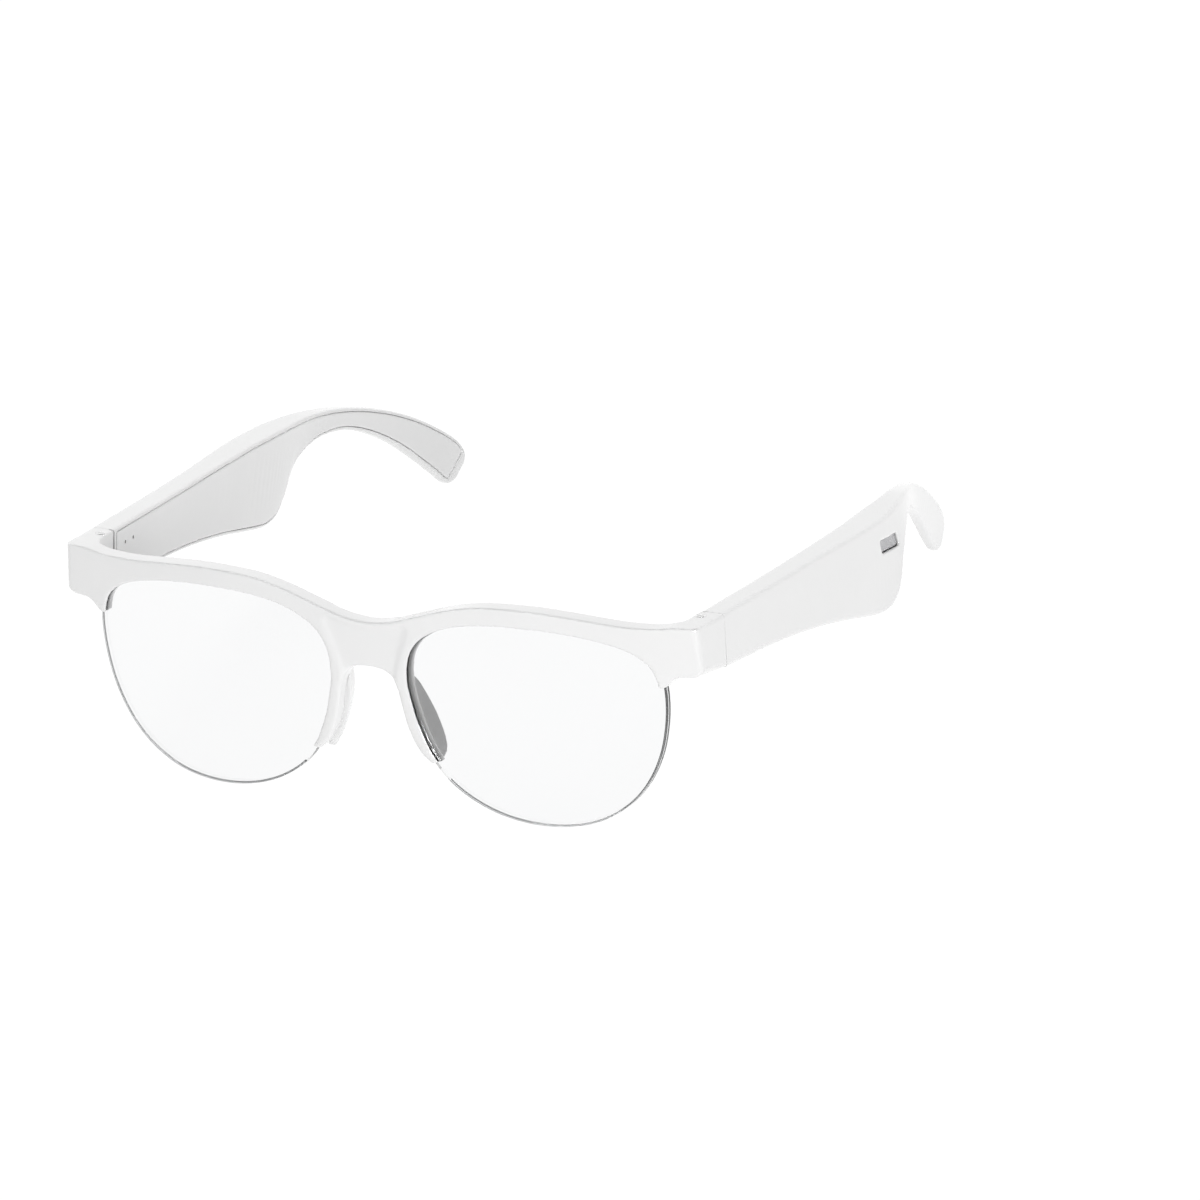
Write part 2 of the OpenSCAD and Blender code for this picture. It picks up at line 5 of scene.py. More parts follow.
import bmesh
import bpy
import numpy as np
from mathutils import Matrix, Vector

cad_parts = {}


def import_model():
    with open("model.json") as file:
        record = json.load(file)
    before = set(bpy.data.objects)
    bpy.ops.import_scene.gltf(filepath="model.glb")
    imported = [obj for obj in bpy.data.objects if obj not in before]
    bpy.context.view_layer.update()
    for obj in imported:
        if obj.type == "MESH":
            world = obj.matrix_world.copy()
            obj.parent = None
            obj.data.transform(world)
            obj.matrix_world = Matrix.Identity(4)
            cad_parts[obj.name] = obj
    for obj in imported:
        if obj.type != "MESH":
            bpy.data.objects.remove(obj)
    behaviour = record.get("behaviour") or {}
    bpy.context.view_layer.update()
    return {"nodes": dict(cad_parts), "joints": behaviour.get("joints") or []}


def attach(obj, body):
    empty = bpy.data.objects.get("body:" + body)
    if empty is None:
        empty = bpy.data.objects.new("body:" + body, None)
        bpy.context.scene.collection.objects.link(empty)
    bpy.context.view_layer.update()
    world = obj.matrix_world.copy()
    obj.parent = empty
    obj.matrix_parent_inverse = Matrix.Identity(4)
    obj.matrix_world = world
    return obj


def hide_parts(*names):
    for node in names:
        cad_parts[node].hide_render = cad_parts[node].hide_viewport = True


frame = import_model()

MM = 0.001
WELD = 0.002 * MM                       # corners closer than this are one point
SIDES = ("left", "right")

# ---- the glasses' own frame -----------------------------------------------------
# The CAD model leans by a few degrees as it rests. Across, back and up are the
# directions of the glasses as they are worn, and the origin is midway between the
# front's upper corners.
hinge = next(j for j in frame["joints"] if j["name"] == "left_hinge")
SCREW = (69.9, 8.5)                     # how far across and back the hinge screws stand
HINGE_AT = Vector((*SCREW, -5.7)) * MM
ACROSS = Vector((1, 0, 0))
UP = Vector(hinge["axis"])
BACK = UP.cross(ACROSS)
ORIGIN = Vector(hinge["pos_m"]) - (ACROSS * HINGE_AT.x + BACK * HINGE_AT.y + UP * HINGE_AT.z)
TO_WORN = np.array([ACROSS, BACK, UP])


def at(x, y, z):
    """The point in the frame that lies x, y and z millimetres across, back and up."""
    return ORIGIN + (ACROSS * x + BACK * y + UP * z) * MM


def worn(points):
    """Points of the frame as millimetres across, back and up."""
    return (points - np.array(ORIGIN)) @ TO_WORN.T / MM


def unworn(points):
    return points @ TO_WORN * MM + np.array(ORIGIN)


# ---- mesh helpers -----------------------------------------------------------------
def get_points(mesh):
    co = np.empty(len(mesh.vertices) * 3, np.float32)
    mesh.vertices.foreach_get("co", co)
    return co.reshape(-1, 3).astype(float)


def set_points(mesh, co):
    mesh.vertices.foreach_set("co", co.astype(np.float32).ravel())
    mesh.update()


def new_object(name, mesh):
    piece = bpy.data.objects.new(name, mesh)
    bpy.context.scene.collection.objects.link(piece)
    return piece


def applied(piece):
    """Applies the piece's modifiers to its mesh."""
    graph = bpy.context.evaluated_depsgraph_get()
    mesh = bpy.data.meshes.new_from_object(piece.evaluated_get(graph))
    piece.modifiers.clear()
    piece.data = mesh
    return piece


def welded_copy(name, nodes):
    """One object with the CAD nodes' meshes, with their split corners welded."""
    bm = bmesh.new()
    for n in nodes:
        bm.from_mesh(frame["nodes"][n].data)
    bmesh.ops.remove_doubles(bm, verts=bm.verts, dist=WELD)
    mesh = bpy.data.meshes.new(name)
    bm.to_mesh(mesh)
    bm.free()
    return new_object(name, mesh)


def neighbours(mesh):
    edges = np.empty(len(mesh.edges) * 2, np.int64)
    mesh.edges.foreach_get("vertices", edges)
    return edges.reshape(-1, 2)


SHRINK, SWELL = 0.6, -0.5               # how far a pass moves a point to its neighbours' mean


def soften(mesh, rounds, weight=None):
    """Rounds the edges by passes that shrink and swell in turn, and so keep the size."""
    co = get_points(mesh)
    edges = neighbours(mesh)
    n = len(co)
    count = np.bincount(edges.ravel(), minlength=n)[:, None]
    w = 1.0 if weight is None else weight(worn(co))[:, None]
    for k in range(2 * rounds):         # even passes shrink, odd ones swell
        total = np.empty_like(co)
        for axis in range(3):
            total[:, axis] = (np.bincount(edges[:, 0], co[edges[:, 1], axis], n)
                              + np.bincount(edges[:, 1], co[edges[:, 0], axis], n))
        step = SHRINK if k % 2 == 0 else SWELL
        co += w * step * (total / np.maximum(count, 1) - co)
    set_points(mesh, co)


def worn_y(point):
    return (point - ORIGIN).dot(BACK) / MM


def lengthened(mesh, plane_y, way, extra=2.5):
    """Draws the flat end at plane_y out along the temple, so that it can be trimmed later."""
    bm = bmesh.new()
    bm.from_mesh(mesh)
    bm.normal_update()
    ends = [f for f in bm.faces if f.normal.dot(BACK) * way > 0.99
            and all(abs(worn_y(v.co) - plane_y) < 0.03 for v in f.verts)]
    made = bmesh.ops.extrude_face_region(bm, geom=ends)["geom"]
    moved = [g for g in made if isinstance(g, bmesh.types.BMVert)]
    bmesh.ops.translate(bm, verts=moved, vec=BACK * (way * extra * MM))
    bmesh.ops.delete(bm, geom=ends, context="FACES")
    bm.to_mesh(mesh)
    bm.free()


def trimmed(mesh, plane_y, way):
    """Cuts the mesh off flat at plane_y and closes the cut."""
    bm = bmesh.new()
    bm.from_mesh(mesh)
    bmesh.ops.bisect_plane(bm, geom=bm.verts[:] + bm.edges[:] + bm.faces[:], dist=1e-7,
                           plane_co=at(0, plane_y, 0), plane_no=BACK * way, clear_outer=True)
    rim = [e for e in bm.edges if e.is_boundary]
    bmesh.ops.triangle_fill(bm, use_beauty=True, edges=rim, normal=BACK * way)
    bmesh.ops.recalc_face_normals(bm, faces=bm.faces)
    bm.to_mesh(mesh)
    bm.free()


def rod(centre, axis, radius, start, end, sides=48):
    """A bmesh cylinder round an axis through centre, from start to end in millimetres."""
    bm = bmesh.new()
    bmesh.ops.create_cone(bm, cap_ends=True, segments=sides, radius1=radius * MM,
                          radius2=radius * MM, depth=(end - start) * MM)
    turn = Vector((0, 0, 1)).rotation_difference(axis).to_matrix().to_4x4()
    bmesh.ops.transform(bm, verts=bm.verts, matrix=Matrix.Translation(
        at(*centre) + axis * ((start + end) / 2 * MM)) @ turn)
    return bm


def add_rods(mesh, rods):
    """Joins the rods to the mesh; the voxel remesh then makes them one body with it."""
    bm = bmesh.new()
    bm.from_mesh(mesh)
    for r in rods:
        part = rod(*r)
        temp = bpy.data.meshes.new("rod")
        part.to_mesh(temp)
        part.free()
        bm.from_mesh(temp)
        bpy.data.meshes.remove(temp)
    bm.to_mesh(mesh)
    bm.free()


def drill(piece, rods):
    """Cuts crisp round holes."""
    for r in rods:
        part = rod(*r)
        mesh = bpy.data.meshes.new("drill")
        part.to_mesh(mesh)
        part.free()
        tool = new_object("drill", mesh)
        cut = piece.modifiers.new("cut", "BOOLEAN")
        cut.operation = "DIFFERENCE"
        cut.solver = "EXACT"
        cut.object = tool
        applied(piece)
        bpy.data.objects.remove(tool)


def skin(name, nodes, voxel, rounds, end=None, more=None, keep=0.3, plugs=(), holes=()):
    """A moulded skin over CAD nodes: an even mesh with soft edges, thinned where it is flat.
    The end is a flat face (its y and which way it faces) that stays crisp, and so do the
    holes, which are plugged first and drilled again afterwards. Where it says so, "more"
    softens the skin further."""
    piece = welded_copy(name, nodes)
    if end:
        lengthened(piece.data, *end)
    add_rods(piece.data, plugs)
    remesh = piece.modifiers.new("even", "REMESH")
    remesh.mode = "VOXEL"
    remesh.voxel_size = voxel * MM
    applied(piece)
    soften(piece.data, rounds)
    if more:
        soften(piece.data, *more)
    thin = piece.modifiers.new("thin", "DECIMATE")
    thin.ratio = keep
    applied(piece)
    if end:
        trimmed(piece.data, *end)
    drill(piece, holes)
    piece.data.shade_smooth()
    piece.data.set_sharp_from_angle(angle=math.radians(50))
    return piece


# ---- materials --------------------------------------------------------------------
def material(name):
    m = bpy.data.materials.new(name)
    m.use_nodes = True
    nodes, links = m.node_tree.nodes, m.node_tree.links
    return m, nodes, links, nodes["Principled BSDF"]


def object_noise(nodes, links, scale, detail=3.0):
    where = nodes.new("ShaderNodeTexCoord")
    noise = nodes.new("ShaderNodeTexNoise")
    noise.inputs["Scale"].default_value = scale
    noise.inputs["Detail"].default_value = detail
    links.new(where.outputs["Object"], noise.inputs["Vector"])
    return noise


def ramp_between(nodes, links, source, low, high, start=0.3, end=0.7):
    ramp = nodes.new("ShaderNodeValToRGB")
    ramp.color_ramp.elements[0].position = start
    ramp.color_ramp.elements[0].color = (*low, 1)
    ramp.color_ramp.elements[1].position = end
    ramp.color_ramp.elements[1].color = (*high, 1)
    links.new(source, ramp.inputs["Fac"])
    return ramp


def bump(nodes, links, shader, source, height_mm, strength):
    b = nodes.new("ShaderNodeBump")
    b.inputs["Distance"].default_value = height_mm * MM
    b.inputs["Strength"].default_value = strength
    links.new(source, b.inputs["Height"])
    links.new(b.outputs["Normal"], shader.inputs["Normal"])


def moulded(name, low, high, rough=(0.3, 0.36), grain=0.01, specular=0.5, coat=0.0, coat_ior=1.5):
    """Moulded plastic: a faint mottle in its colour and a fine grain in its gloss."""
    m, nodes, links, shader = material(name)
    mottle = object_noise(nodes, links, 60)
    colour = ramp_between(nodes, links, mottle.outputs["Fac"], low, high)
    links.new(colour.outputs["Color"], shader.inputs["Base Color"])
    fine = object_noise(nodes, links, 9000, 2.0)
    gloss = nodes.new("ShaderNodeMapRange")
    gloss.inputs["To Min"].default_value = rough[0]
    gloss.inputs["To Max"].default_value = rough[1]
    links.new(fine.outputs["Fac"], gloss.inputs["Value"])
    links.new(gloss.outputs["Result"], shader.inputs["Roughness"])
    shader.inputs["Specular IOR Level"].default_value = specular
    shader.inputs["Coat Weight"].default_value = coat
    shader.inputs["Coat IOR"].default_value = coat_ior
    shader.inputs["Coat Roughness"].default_value = 0.12
    bump(nodes, links, shader, fine.outputs["Fac"], grain, 0.15)
    return m


WHITE_LOW, WHITE_HIGH = (0.80, 0.80, 0.80), (0.82, 0.82, 0.82)
white = moulded("white_plastic", WHITE_LOW, WHITE_HIGH, coat=1.0, coat_ior=2.0)


def plain_metal(name, low, high, rough):
    m, nodes, links, shader = material(name)
    brushed = object_noise(nodes, links, 4000, 4.0)
    colour = ramp_between(nodes, links, brushed.outputs["Fac"], low, high)
    links.new(colour.outputs["Color"], shader.inputs["Base Color"])
    shader.inputs["Metallic"].default_value = 1.0
    shader.inputs["Roughness"].default_value = rough
    bump(nodes, links, shader, brushed.outputs["Fac"], 0.01, 0.2)
    return m


steel = plain_metal("steel", (0.62, 0.63, 0.65), (0.72, 0.73, 0.74), 0.25)
bright_steel = plain_metal("bright_steel", (0.93, 0.93, 0.93), (0.98, 0.98, 0.98), 0.2)


def glass():
    m, nodes, links, shader = material("lens_glass")
    mottle = object_noise(nodes, links, 30)
    colour = ramp_between(nodes, links, mottle.outputs["Fac"], (0.912, 0.915, 0.918),
                          (0.918, 0.921, 0.924))
    links.new(colour.outputs["Color"], shader.inputs["Base Color"])
    shader.inputs["Transmission Weight"].default_value = 1.0
    shader.inputs["Roughness"].default_value = 0.0
    shader.inputs["IOR"].default_value = 1.5
    return m


clear = glass()


def paint(piece, *materials):
    piece.data.materials.clear()
    for m in materials:
        piece.data.materials.append(m)


# ---- the front --------------------------------------------------------------------
FRONT_END, TEMPLE_END = 11.88, 12.0     # the two faces at the partings

SIGN = {"left": 1, "right": -1}
HEAD_R = 1.15                           # radius of the hole for a screw's head
CONTACTS = ((17.3, -3.3), (21.1, -3.3))  # y and z of the charging contacts
CONTACT_R, FACE_X = 0.4, 68.4           # their radius, and how far across their face is
PLUG_RIM = 0.35                         # how much wider a plug is than its hole

plugs = [((SIGN[n] * SCREW[0], SCREW[1], 0), UP, HEAD_R + PLUG_RIM, -2.5, 0.74) for n in SIDES]
holes = [((SIGN[n] * SCREW[0], SCREW[1], 0), UP, HEAD_R, -0.1, 1.5) for n in SIDES]


def fading(value, full, none):
    """1 at "full", 0 at "none", and a smooth slope between them."""
    t = np.clip((value - none) / (full - none), 0, 1)
    return t * t * (3 - 2 * t)


def at_bridge(p):
    """Where the face of the bridge is softened further."""
    return fading(np.abs(p[:, 0]), 13, 16) * fading(p[:, 2], -3.6, -2.4) * fading(p[:, 1], 0.2, 1)


front = skin("front_skin", ["front_frame"], 0.25, 24, end=(FRONT_END, 1), more=(60, at_bridge),
             plugs=plugs, holes=holes)
paint(front, white)
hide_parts("front_frame")
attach(front, "front")


def revolved(name, centre, axis, outline, sides=64):
    """A turned piece: the outline is a row of (radius, height) round the axis."""
    u = axis.orthogonal().normalized()
    w = axis.cross(u)
    verts, faces = [], []
    for r, h in outline:
        for k in range(sides):
            t = 2 * math.pi * k / sides
            verts.append(at(*centre) + (axis * h + (u * math.cos(t) + w * math.sin(t)) * r) * MM)
    for i in range(len(outline) - 1):
        for k in range(sides):
            n = (k + 1) % sides
            faces.append((i * sides + k, i * sides + n, (i + 1) * sides + n, (i + 1) * sides + k))
    faces.append(tuple(range(sides))[::-1])
    faces.append(tuple(range(len(verts) - sides, len(verts))))
    mesh = bpy.data.meshes.new(name)
    mesh.from_pydata([tuple(v) for v in verts], [], faces)
    bm = bmesh.new()
    bm.from_mesh(mesh)
    bmesh.ops.recalc_face_normals(bm, faces=bm.faces)
    bm.to_mesh(mesh)
    bm.free()
    mesh.shade_smooth()
    mesh.set_sharp_from_angle(angle=math.radians(35))
    return new_object(name, mesh)


# radius and height from the tip of the shaft to the top of the head
SCREW_OUTLINE = ((0.5, -9.3), (0.7, -9.1), (0.7, 0), (0.75, 0.05), (1.05, 0.05), (1.12, 0.12),
                 (1.13, 0.72), (1.1, 0.79), (1.03, 0.83), (0.7, 0.84), (0.35, 0.845), (0.04, 0.845))
SLIT = (1.7, 0.22, 0.5)                 # length, width and depth of the block that cuts a slit
SLIT_UP = 0.87                          # height of that block's middle
for side in SIDES:
    centre = (SIGN[side] * SCREW[0], SCREW[1], 0)
    screw = revolved(f"screw_{side}", centre, UP, SCREW_OUTLINE)
    bm = bmesh.new()
    slit = bmesh.ops.create_cube(bm, size=1)["verts"]
    bmesh.ops.scale(bm, verts=slit, vec=Vector(SLIT) * MM)
    bmesh.ops.transform(bm, verts=slit, matrix=Matrix.Translation(at(*centre) + UP * SLIT_UP * MM)
                        @ Matrix(((1, 0, 0), tuple(BACK), tuple(UP))).transposed().to_4x4())
    tool_mesh = bpy.data.meshes.new("slit")
    bm.to_mesh(tool_mesh)
    bm.free()
    tool = new_object("slit", tool_mesh)
    cut = screw.modifiers.new("cut", "BOOLEAN")
    cut.object = tool
    cut.solver = "EXACT"
    applied(screw)
    bpy.data.objects.remove(tool)
    paint(screw, bright_steel)
    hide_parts(f"hinge_screw_{side}")
    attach(screw, "front")

for side in SIDES:
    pad = skin(f"nose_pad_skin_{side}", [f"nose_pad_{side}"], 0.15, 14)
    paint(pad, white)
    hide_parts(f"nose_pad_{side}")
    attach(pad, "front")

# ---- the temples ------------------------------------------------------------------
for side in SIDES:
    shell = skin(f"temple_skin_{side}", [f"temple_shell_{side}"], 0.25, 16, end=(TEMPLE_END, -1))
    paint(shell, white)
    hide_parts(f"temple_shell_{side}")
    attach(shell, f"{side}_temple")
    face = [((SIGN[side] * FACE_X, y, z), ACROSS * SIGN[side]) for y, z in CONTACTS]
    cover = skin(f"cover_skin_{side}", [f"inner_cover_{side}"], 0.2, 12,
                 plugs=[(c, a, CONTACT_R + PLUG_RIM, 0.04, 0.96) for c, a in face],
                 holes=[(c, a, CONTACT_R, -1, 2) for c, a in face])
    paint(cover, white)
    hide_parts(f"inner_cover_{side}")
    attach(cover, f"{side}_temple")

# ---- the lenses -------------------------------------------------------------------
# where the rings of a lens's face lie, from its edge (1) towards its middle (0)
RING_AT = (1, 0.997, 0.99, 0.97, 0.93, 0.86, 0.75, 0.6, 0.42, 0.22)
GROOVE = 0.5                            # width and depth of the cord's groove
CORD_GAP = 0.01                         # between the cord and the groove's walls
NEAR_CORD = 1.2                         # an edge point this near to the cord has a groove
HELD_DEPTH = 0.02                       # depth left to the groove where the rim holds the lens


def loop_area(p):
    return 0.5 * abs(np.dot(p[:, 0], np.roll(p[:, 2], -1)) - np.dot(p[:, 2], np.roll(p[:, 0], -1)))


def face_loop(node, way):
    """The outline of a lens's front or back face, in order, as worn millimetres."""
    bm = bmesh.new()
    bm.from_mesh(node.data)
    bmesh.ops.remove_doubles(bm, verts=bm.verts, dist=WELD)
    bm.normal_update()
    faces = {f for f in bm.faces if f.normal.dot(BACK) * way > 0.8}
    nexts = {}
    for f in faces:
        for loop in f.loops:
            if sum(g in faces for g in loop.edge.link_faces) == 1:
                nexts[loop.vert.index] = loop.link_loop_next.vert.index
    co = {v.index: np.array(v.co) for v in bm.verts}
    bm.free()
    loops = []
    while nexts:
        order, k = [], next(iter(nexts))
        while k in nexts:
            order.append(k)
            k = nexts.pop(k)
        loops.append(worn(np.array([co[k] for k in order])))
    return max(loops, key=loop_area)


def resampled(points, count):
    """Evenly spaced points on a closed line, which is smoothed a little."""
    closed = np.vstack([points, points[:1]])
    length = np.concatenate([[0], np.cumsum(np.linalg.norm(np.diff(closed, axis=0), axis=1))])
    s = np.linspace(0, length[-1], count, endpoint=False)
    out = np.stack([np.interp(s, length, closed[:, k]) for k in range(3)], 1)
    for _ in range(3):
        out = 0.5 * out + 0.25 * (np.roll(out, 1, 0) + np.roll(out, -1, 0))
    return out


def sheet_depth(points, line):
    """Fits a smooth depth over x and z through a face's outline."""
    def terms(p):
        x, z = p[:, 0] / 50, p[:, 2] / 50
        return np.stack([np.ones_like(x), x, z, x * x, x * z, z * z, x ** 3, x * x * z,
                         x ** 4], 1)
    fit, *_ = np.linalg.lstsq(terms(line), line[:, 1], rcond=None)
    out = points.copy()
    out[:, 1] = terms(points) @ fit
    return out


def lens_piece(side, count=320):
    node = frame["nodes"][f"lens_{side}"]
    lines = [resampled(face_loop(node, way), count) for way in (-1, 1)]
    if np.sign(np.cross(lines[0][1] - lines[0][0], lines[0][2] - lines[0][1])[1]) != \
            np.sign(np.cross(lines[1][1] - lines[1][0], lines[1][2] - lines[1][1])[1]):
        lines[1] = lines[1][::-1]
    turn = np.argmin(np.linalg.norm(lines[1][:, ::2] - lines[0][0, ::2], axis=1))
    lines[1] = np.roll(lines[1], -turn, 0)
    middle = lines[0].mean(0)
    cords = worn(get_points(frame["nodes"][f"lens_cord_{side}"].data))
    verts, faces = [], []

    def ring(points):
        verts.extend(points)
        return list(range(len(verts) - count, len(verts)))

    def join(a, b):
        for k in range(count):
            n = (k + 1) % count
            faces.append((a[k], a[n], b[n], b[k]))

    def disc(line):
        rings = []
        for f in RING_AT:
            inner = middle + (line - middle) * f
            rings.append(ring(sheet_depth(inner, line)))
        return rings

    front_rings = disc(lines[0])
    back_rings = disc(lines[1])
    for rings in (front_rings, back_rings):
        for a, b in zip(rings, rings[1:]):
            join(a, b)
        centre = len(verts)
        verts.append(sheet_depth(middle[None], lines[0] if rings is front_rings else lines[1])[0])
        for k in range(count):
            faces.append((rings[-1][k], rings[-1][(k + 1) % count], centre))
    # the edge: a land, the cord's groove where the lens is free, and another land
    tangent = np.roll(lines[0], -1, 0) - np.roll(lines[0], 1, 0)
    inward = np.stack([-tangent[:, 2], np.zeros(count), tangent[:, 0]], 1)
    inward /= np.linalg.norm(inward, axis=1)[:, None]
    inward *= np.sign(((middle - lines[0]) * inward).sum(1))[:, None]
    free = np.array([np.min(np.linalg.norm(cords[:, ::2] - q[::2], axis=1)) < NEAR_CORD
                     for q in lines[0]])
    depth = np.where(free, GROOVE, HELD_DEPTH)[:, None]
    thick = np.linalg.norm(lines[1] - lines[0], axis=1)[:, None]
    half = GROOVE / 2 / thick
    edge = [front_rings[0]]
    for f, d in ((0.5 - half, 0), (0.5 - half, depth), (0.5 + half, depth), (0.5 + half, 0)):
        edge.append(ring(lines[0] * (1 - f) + lines[1] * f + inward * d))
    edge.append(back_rings[0])
    for a, b in zip(edge, edge[1:]):
        join(a, b)
    mesh = bpy.data.meshes.new(f"lens_glass_{side}")
    mesh.from_pydata([tuple(p) for p in unworn(np.array(verts))], [], faces)
    bm = bmesh.new()
    bm.from_mesh(mesh)
    bmesh.ops.recalc_face_normals(bm, faces=bm.faces)
    bm.to_mesh(mesh)
    bm.free()
    piece = new_object(f"lens_glass_{side}", mesh)
    mesh.shade_smooth()
    mesh.set_sharp_from_angle(angle=math.radians(40))
    where = (lines[0] + lines[1]) / 2 + inward * (GROOVE / 2)
    return piece, where, free


def tube_shape(path, radius, first, sideways=(0, 1, 0.02), sides=10):
    """The points and faces of a tube with rounded ends along a path, in worn millimetres.
    Its points are numbered from "first"."""
    tangent = np.gradient(path, axis=0)
    tangent /= np.linalg.norm(tangent, axis=1)[:, None]
    u = np.cross(tangent, sideways)
    u /= np.linalg.norm(u, axis=1)[:, None]
    w = np.cross(tangent, u)
    sizes = np.full(len(path), radius)
    sizes[0] = sizes[-1] = radius * 0.5
    verts, faces = [], []
    for p, a, b, r in zip(path, u, w, sizes):
        for k in range(sides):
            t = 2 * math.pi * k / sides
            verts.append(p + r * (math.cos(t) * a + math.sin(t) * b))
    n = len(path)
    for i in range(n - 1):
        here, there = first + i * sides, first + (i + 1) * sides
        for k in range(sides):
            m = (k + 1) % sides
            faces.append((here + k, here + m, there + m, there + k))
    faces.append(tuple(range(first, first + sides))[::-1])
    faces.append(tuple(range(first + (n - 1) * sides, first + n * sides)))
    return verts, faces


def worn_object(name, verts, faces):
    mesh = bpy.data.meshes.new(name)
    mesh.from_pydata([tuple(p) for p in unworn(np.array(verts))], [], faces)
    mesh.shade_smooth()
    return new_object(name, mesh)


def clear_nylon():
    m, nodes, links, shader = material("clear_nylon")
    haze = object_noise(nodes, links, 700)
    colour = ramp_between(nodes, links, haze.outputs["Fac"], (0.86, 0.87, 0.88), (0.9, 0.91, 0.92))
    links.new(colour.outputs["Color"], shader.inputs["Base Color"])
    shader.inputs["Transmission Weight"].default_value = 0.6
    shader.inputs["Roughness"].default_value = 0.25
    shader.inputs["IOR"].default_value = 1.53
    return m


nylon = clear_nylon()
for side in SIDES:
    lens, where, free = lens_piece(side)
    paint(lens, clear)
    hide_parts(f"lens_{side}")
    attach(lens, "front")
    start = np.argmax(free & ~np.roll(free, 1))
    path = np.roll(where, -start, 0)[:free.sum()]
    cord = worn_object(f"nylon_cord_{side}", *tube_shape(path, GROOVE / 2 - CORD_GAP, 0))
    paint(cord, nylon)
    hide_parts(f"lens_cord_{side}")
    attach(cord, "front")

# ---- the vents ----------------------------------------------------------------------
WIRE_R, WIRE_PITCH, WIRE_WAVE = 0.08, 0.3, 0.05
WIRES = 20                              # wires tried on each side of the middle


def side_planes(node, normal):
    """The side faces of a plate, as points and outward normals."""
    planes = []
    for f in node.data.polygons:
        n = TO_WORN @ np.array(f.normal)
        if abs(n @ normal) < 0.1:
            planes.append((worn(np.array(f.center)[None])[0], n))
    return planes


def inside(planes, start, way, margin):
    """The stretch of a straight line that stays "margin" within the planes."""
    low, high = -50.0, 50.0
    for point, n in planes:
        slope, room = way @ n, (point - start) @ n - margin
        if abs(slope) < 1e-6:
            if room < 0:
                return 0, 0
        elif slope > 0:
            high = min(high, room / slope)
        else:
            low = max(low, room / slope)
    return low, high


def vent_weave(side):
    """Woven wire cloth cut to the outline of the CAD plate that it stands for."""
    node = frame["nodes"][f"vent_mesh_{side}"]
    points = worn(get_points(node.data))
    middle = (points.min(0) + points.max(0)) / 2
    long, _, normal = np.linalg.svd(points - points.mean(0), full_matrices=False)[2]
    short = np.cross(normal, long)
    planes = side_planes(node, normal)
    verts, faces = [], []
    for way, over, phase in ((long, short, 0), (short, long, 1)):
        for k in range(-WIRES, WIRES + 1):
            start = middle + over * (k * WIRE_PITCH)
            low, high = inside(planes, start, way, WIRE_R)
            if high - low < 2 * WIRE_PITCH:
                continue
            t = np.linspace(low, high, int((high - low) / WIRE_PITCH * 6) + 2)
            wave = np.cos(math.pi * (t / WIRE_PITCH + k + phase)) * WIRE_WAVE
            path = start + np.outer(t, way) + np.outer(wave, normal)
            v, f = tube_shape(path, WIRE_R, len(verts), sideways=normal, sides=6)
            verts += v
            faces += f
    return worn_object(f"vent_weave_{side}", verts, faces)


vent_steel = plain_metal("vent_steel", (0.4, 0.4, 0.41), (0.62, 0.62, 0.63), 0.45)
for side in SIDES:
    weave = vent_weave(side)
    paint(weave, vent_steel)
    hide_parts(f"vent_mesh_{side}")
    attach(weave, f"{side}_temple")

# ---- the CAD nodes' materials -------------------------------------------------------

def circuit_laminate():
    """Green solder mask with paler lines of copper under it."""
    m, nodes, links, shader = material("board_laminate")
    where = nodes.new("ShaderNodeTexCoord")
    tracks = nodes.new("ShaderNodeTexBrick")
    tracks.inputs["Scale"].default_value = 900
    tracks.inputs["Mortar Size"].default_value = 0.06
    tracks.inputs["Color1"].default_value = (0.02, 0.2, 0.1, 1)
    tracks.inputs["Color2"].default_value = (0.03, 0.24, 0.12, 1)
    tracks.inputs["Mortar"].default_value = (0.1, 0.42, 0.22, 1)
    links.new(where.outputs["Object"], tracks.inputs["Vector"])
    links.new(tracks.outputs["Color"], shader.inputs["Base Color"])
    shader.inputs["Roughness"].default_value = 0.3
    bump(nodes, links, shader, tracks.outputs["Fac"], 0.02, 0.3)
    return m


LOOKS = {
    "lens": clear,
    "hinge_screw": bright_steel,
    "leaf_screws": bright_steel,
    "front_hinge": steel,
    "temple_hinge": steel,
    "core_strip": plain_metal("spring_steel", (0.5, 0.51, 0.53), (0.62, 0.63, 0.65), 0.3),
    "battery": plain_metal("battery_foil", (0.6, 0.62, 0.65), (0.74, 0.76, 0.79), 0.38),
    "circuit_board": circuit_laminate(),
    "speaker": moulded("speaker_black", (0.02, 0.02, 0.022), (0.035, 0.035, 0.037), grain=0.03),
    "vent_mesh": vent_steel,
    "vent_gasket": moulded("foam_rubber", (0.012, 0.012, 0.012), (0.03, 0.03, 0.03),
                           rough=(0.8, 0.95), grain=0.06),
    "charging_contacts": plain_metal("contact_gold", (0.7, 0.52, 0.22), (0.83, 0.66, 0.33), 0.25),
    "charging_magnets": plain_metal("magnet_nickel", (0.62, 0.61, 0.59), (0.72, 0.71, 0.69), 0.15),
    "microphone": plain_metal("microphone_can", (0.62, 0.57, 0.42), (0.74, 0.69, 0.54), 0.3),
    "touch_sensor": moulded("sensor_film", (0.6, 0.28, 0.07), (0.72, 0.42, 0.12), grain=0.005),
    "flex_cable": moulded("flex_film", (0.66, 0.34, 0.08), (0.78, 0.46, 0.13), grain=0.005),
}
# both sides share a look; the nodes not named above are white plastic
for name, node in frame["nodes"].items():
    paint(node, LOOKS.get(name.rsplit("_", 1)[0], white))

# ---- the stage ----------------------------------------------------------------------
FLOOR_LIGHT = 0.6                       # how brightly the white floor lights the object
FLOOR_HALF = 6.0                        # half the floor's width, in metres
LIT_AT = Vector((0, 0, 0.03))           # what the lights point at


